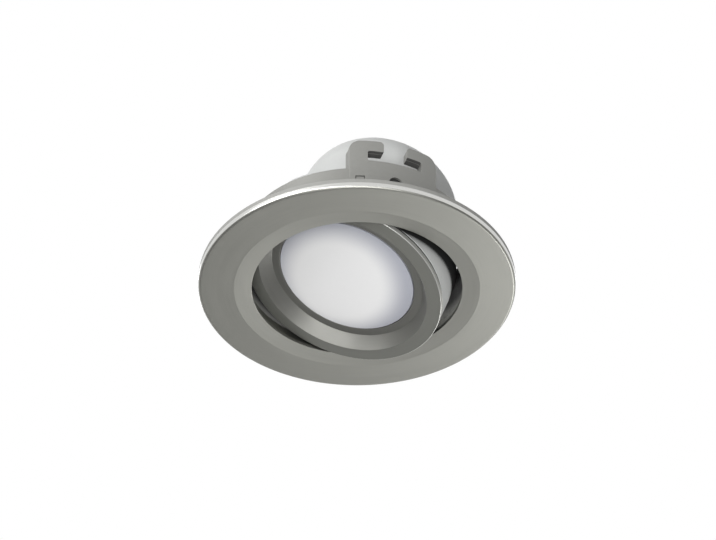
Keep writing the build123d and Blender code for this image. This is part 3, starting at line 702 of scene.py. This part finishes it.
def inside_painted_shade_surface():
    """Collar's inside with painted shade, darker with height."""
    material = surface("collar_inside_painted_shade", speckle, (0.45, 0.45, 0.43), 0.10, (0.5, 0.6), 0.3, 0.1)
    tree = material.node_tree
    coords = tree.nodes.new("ShaderNodeTexCoord")
    height = tree.nodes.new("ShaderNodeSeparateXYZ")
    tree.links.new(coords.outputs["Object"], height.inputs[0])
    painted_shade_blend(material, INSIDE_PAINTED_SHADE, height.outputs["Z"], INSIDE_SHADE_HEIGHTS[0] * MM, INSIDE_SHADE_HEIGHTS[1] * MM)
    return material


def barrel_painted_shade_surface():
    """Moulded barrel with painted shade: black where its neighbours shut out the light."""
    material = surface("barrel_painted_shade", speckle, (0.62, 0.63, 0.62), 0.04, (0.65, 0.75), 0.0, 0.15)
    tree = material.node_tree
    occlusion = tree.nodes.new("ShaderNodeAmbientOcclusion")
    occlusion.inputs["Distance"].default_value = BARREL_SHADE_REACH * MM
    painted_shade_blend(material, BARREL_PAINTED_SHADE, occlusion.outputs["AO"], *BARREL_SHADE_FADE)
    tree.nodes["Principled BSDF"].inputs["Specular IOR Level"].default_value = BARREL_GLOSS
    return material


def dress(node, material):
    """Gives a CAD node one material."""
    mesh = frame["nodes"][node].data
    mesh.materials.clear()
    mesh.materials.append(material)


def make_camera():
    """Camera below the lamp, looking up, framed as the photograph is."""
    back = Vector((
        math.sin(VIEW_AZIMUTH) * math.cos(VIEW_ELEVATION),
        -math.cos(VIEW_AZIMUTH) * math.cos(VIEW_ELEVATION),
        math.sin(VIEW_ELEVATION),
    ))
    turn = (-back).to_track_quat("-Z", "Y")
    metres_per_pixel = VIEW_DISTANCE / FOCAL_PIXELS
    shift_right = (PHOTO_WIDTH / 2 - FACE_PIXEL[0]) * metres_per_pixel
    shift_up = (FACE_PIXEL[1] - PHOTO_HEIGHT / 2) * metres_per_pixel
    aim = FACE_CENTRE + turn @ Vector((shift_right, shift_up, 0))
    data = bpy.data.cameras.new("camera")
    data.sensor_width = SENSOR_WIDTH
    data.lens = SENSOR_WIDTH * FOCAL_PIXELS / PHOTO_WIDTH
    data.clip_start = NEAR_CLIP
    camera = bpy.data.objects.new("camera", data)
    camera.rotation_mode = "QUATERNION"
    camera.rotation_quaternion = turn
    camera.location = aim + back * VIEW_DISTANCE
    bpy.context.scene.collection.objects.link(camera)
    bpy.context.scene.camera = camera


def make_world():
    """White surroundings for the camera and reflections, softer ambient light for matt surfaces."""
    world = bpy.data.worlds.new("studio")
    bpy.context.scene.world = world
    world.use_nodes = True
    tree = world.node_tree
    background = tree.nodes["Background"]
    path = tree.nodes.new("ShaderNodeLightPath")
    seen = math_node(tree, "MAXIMUM", path.outputs["Is Camera Ray"], path.outputs["Is Glossy Ray"])
    seen = math_node(tree, "MAXIMUM", seen, path.outputs["Is Transmission Ray"])
    coords = tree.nodes.new("ShaderNodeTexCoord")
    height = tree.nodes.new("ShaderNodeSeparateXYZ")
    tree.links.new(coords.outputs["Generated"], height.inputs[0])
    ambient = tree.nodes.new("ShaderNodeMapRange")
    ambient.inputs["From Min"].default_value = AMBIENT_HEIGHTS[0]
    ambient.inputs["From Max"].default_value = AMBIENT_HEIGHTS[1]
    ambient.inputs["To Min"].default_value = AMBIENT_SIDE
    ambient.inputs["To Max"].default_value = AMBIENT_TOP
    tree.links.new(height.outputs["Z"], ambient.inputs["Value"])
    strength = math_node(tree, "MAXIMUM", seen, ambient.outputs["Result"])
    tree.links.new(strength, background.inputs["Strength"])
    background.inputs["Color"].default_value = (1, 1, 1, 1)


def make_floor(finish):
    """Pale floor well below the lamp."""
    bpy.ops.mesh.primitive_plane_add(size=FLOOR_SIZE, location=(0, 0, FLOOR_LEVEL))
    floor = bpy.context.object
    floor.name = "floor"
    floor.data.materials.append(finish)


def make_lamp(name, place, aim, size, power):
    """Soft square lamp."""
    data = bpy.data.lights.new(name, "AREA")
    data.shape = "SQUARE"
    data.size = size
    data.energy = power
    lamp = bpy.data.objects.new(name, data)
    lamp.location = place
    lamp.rotation_mode = "QUATERNION"
    lamp.rotation_quaternion = (Vector(aim) - Vector(place)).to_track_quat("-Z", "Y")
    bpy.context.scene.collection.objects.link(lamp)


bpy.context.scene.view_settings.view_transform = "Standard"
turned = turned_grain_group()
speckle = speckle_group()

# Finishes: name, grain, colour, spread of the colour, roughness range, metallic share and relief
nickel = surface("satin_nickel", turned, (0.30, 0.30, 0.275), 0.10, (0.36, 0.46), 1.0, 0.12)
# Turned edge, lighter partly as a painted highlight
nickel_edge_painted_highlight = surface("turned_edge_painted_highlight", turned, (0.62, 0.62, 0.60), 0.05, (0.22, 0.30), 1.0, 0.05)
# Rim side, lighter partly as a painted highlight
nickel_rim_painted_highlight = surface("turned_rim_painted_highlight", turned, (0.50, 0.50, 0.48), 0.05, (0.3, 0.4), 0.6, 0.05)
nickel_head = surface("satin_bezel", turned, (0.205, 0.205, 0.19), 0.12, (0.40, 0.50), 0.7, 0.12)
nickel_flat = surface("satin_rim", turned, (0.132, 0.134, 0.120), 0.12, (0.50, 0.60), 0.0, 0.12)
# Painted dark reflection on the band above the flange edge
nickel_rear_painted_dark_reflection = surface("edge_painted_dark_reflection", speckle, (0.30, 0.30, 0.285), 0.10, (0.5, 0.6), 0.0, 0.1)
# Collar inside with painted shade, darker with height
nickel_inside_painted_shade = inside_painted_shade_surface()
# Painted shade for the lug undersides
lug_shade = surface("lug_shade", speckle, (0.08, 0.08, 0.077), 0.10, (0.6, 0.7), 0.0, 0.1)
nickel_cast = surface("plated_bracket", speckle, (0.26, 0.26, 0.245), 0.08, (0.45, 0.55), 0.35, 0.1)
housing_grey = surface("moulded_grey", speckle, (0.62, 0.63, 0.62), 0.04, (0.6, 0.7), 0.0, 0.15)
# Opal with painted shade towards its edge
opal = opal_painted_shade_surface()
# Barrel grey with painted shade where it is crowded
barrel_painted_shade = barrel_painted_shade_surface()
rubber = surface("black_rubber", speckle, (0.03, 0.03, 0.03), 0.2, (0.6, 0.75), 0.0, 0.2)
finishes = {
    "friction_washers": surface("hard_fibre", speckle, (0.12, 0.11, 0.10), 0.2, (0.6, 0.7), 0.0, 0.2),
    "diffuser_gasket": rubber,
    "reflector_cup": surface("white_gloss", speckle, (0.88, 0.88, 0.88), 0.02, (0.2, 0.28)),
    "led_board": surface("white_mask", speckle, (0.82, 0.83, 0.82), 0.03, (0.35, 0.45)),
    "led_chips": surface("phosphor", speckle, (0.88, 0.72, 0.22), 0.06, (0.4, 0.5)),
    "heat_spreader": surface("bare_aluminium", turned, (0.72, 0.72, 0.73), 0.08, (0.3, 0.42), 1.0, 0.1),
    "led_leads": surface("tinned_copper", speckle, (0.72, 0.43, 0.28), 0.08, (0.3, 0.4), 1.0),
    "driver_board": surface("green_mask", speckle, (0.03, 0.20, 0.09), 0.15, (0.35, 0.5)),
}
steel = surface("zinc_steel", speckle, (0.55, 0.55, 0.54), 0.10, (0.32, 0.42), 1.0, 0.1)
grey_plastic = surface("grey_plastic", speckle, (0.32, 0.32, 0.33), 0.08, (0.5, 0.6), 0.0, 0.15)
dark_plastic = surface("dark_plastic", speckle, (0.035, 0.035, 0.045), 0.2, (0.45, 0.6), 0.0, 0.1)
ferrite = surface("ferrite", speckle, (0.08, 0.08, 0.08), 0.25, (0.6, 0.75), 0.0, 0.2)
finishes["pivot_pins"] = surface("blackened_steel", speckle, (0.025, 0.025, 0.025), 0.2, (0.5, 0.6), 0.0, 0.1)
for node in ("board_screws", "housing_screws", "driver_fuse"):
    finishes[node] = steel
for node in ("insulation_tray", "terminal_block"):
    finishes[node] = grey_plastic
for node in ("driver_capacitor", "driver_rectifier", "driver_controller"):
    finishes[node] = dark_plastic
for node in ("driver_transformer", "driver_choke"):
    finishes[node] = ferrite
for node, material in finishes.items():
    dress(node, material)

make_trim(nickel, nickel_edge_painted_highlight, nickel_rear_painted_dark_reflection)
make_collar(nickel_cast, nickel_inside_painted_shade, lug_shade)
make_block("near_block", "pivot_block_near", -1, nickel_cast, lug_shade)
make_block("far_block", "pivot_block_far", 1, nickel_cast, lug_shade)
make_bezel(nickel_head, nickel_rim_painted_highlight, nickel_flat)
make_diffuser(opal)
make_housing(housing_grey, barrel_painted_shade)
make_grommet(rubber)
make_camera()
make_world()
make_floor(surface("floor_paint", speckle, (0.75, 0.75, 0.75), 0.02, (0.7, 0.8), 0.0, 0.0, {"Scale": 6.0}))
for lamp in LAMPS:
    make_lamp(*lamp)
